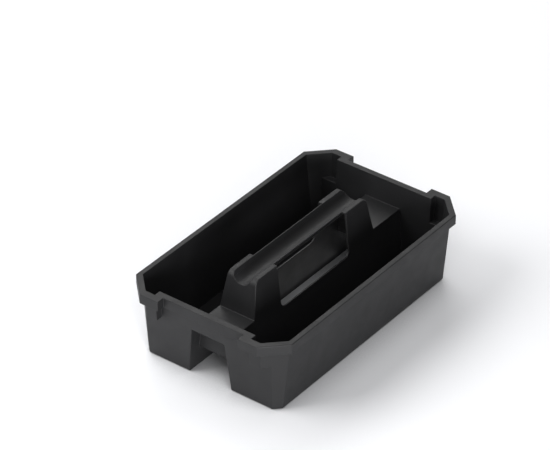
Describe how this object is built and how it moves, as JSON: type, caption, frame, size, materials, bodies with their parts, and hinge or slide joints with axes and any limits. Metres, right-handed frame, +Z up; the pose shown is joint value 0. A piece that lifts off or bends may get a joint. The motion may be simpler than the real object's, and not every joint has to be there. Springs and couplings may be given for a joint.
{
  "type": "tool storage caddy",
  "caption": "Open plastic tool caddy with two bins, a hollow central tunnel and a raised half-round carrying grip on two posts.",
  "frame": {"origin": "centre of the footprint on the ground", "axes": "+X along the handle towards the back end, +Y to the left, +Z up"},
  "size_m": [0.4, 0.238, 0.1212],
  "materials": {
    "moulded_plastic": "fine matt moulded grain"
  },
  "bodies": {
    "root": {"bin_floor_left": "moulded_plastic", "long_wall_left": "moulded_plastic", "long_rim_left": "moulded_plastic", "tunnel_side_left": "moulded_plastic", "bin_floor_right": "moulded_plastic", "long_wall_right": "moulded_plastic", "long_rim_right": "moulded_plastic", "tunnel_side_right": "moulded_plastic", "upper_end_panel_front": "moulded_plastic", "end_rim_front": "moulded_plastic", "shelf_front": "moulded_plastic", "inner_rib_front": "moulded_plastic", "outer_rib_front": "moulded_plastic", "handle_post_end_front": "moulded_plastic", "upper_end_panel_back": "moulded_plastic", "end_rim_back": "moulded_plastic", "shelf_back": "moulded_plastic", "inner_rib_back": "moulded_plastic", "outer_rib_back": "moulded_plastic", "handle_post_end_back": "moulded_plastic", "lower_end_panel_front_left": "moulded_plastic", "corner_column_front_left": "moulded_plastic", "corner_pocket_front_left": "moulded_plastic", "corner_collar_front_left": "moulded_plastic", "handle_post_side_front_left": "moulded_plastic", "handle_top_strip_front_left": "moulded_plastic", "lower_end_panel_front_right": "moulded_plastic", "corner_column_front_right": "moulded_plastic", "corner_pocket_front_right": "moulded_plastic", "corner_collar_front_right": "moulded_plastic", "handle_post_side_front_right": "moulded_plastic", "handle_top_strip_front_right": "moulded_plastic", "lower_end_panel_back_left": "moulded_plastic", "corner_column_back_left": "moulded_plastic", "corner_pocket_back_left": "moulded_plastic", "corner_collar_back_left": "moulded_plastic", "handle_post_side_back_left": "moulded_plastic", "handle_top_strip_back_left": "moulded_plastic", "lower_end_panel_back_right": "moulded_plastic", "corner_column_back_right": "moulded_plastic", "corner_pocket_back_right": "moulded_plastic", "corner_collar_back_right": "moulded_plastic", "handle_post_side_back_right": "moulded_plastic", "handle_top_strip_back_right": "moulded_plastic", "grip_trough": "moulded_plastic"}
  },
  "joints": []
}
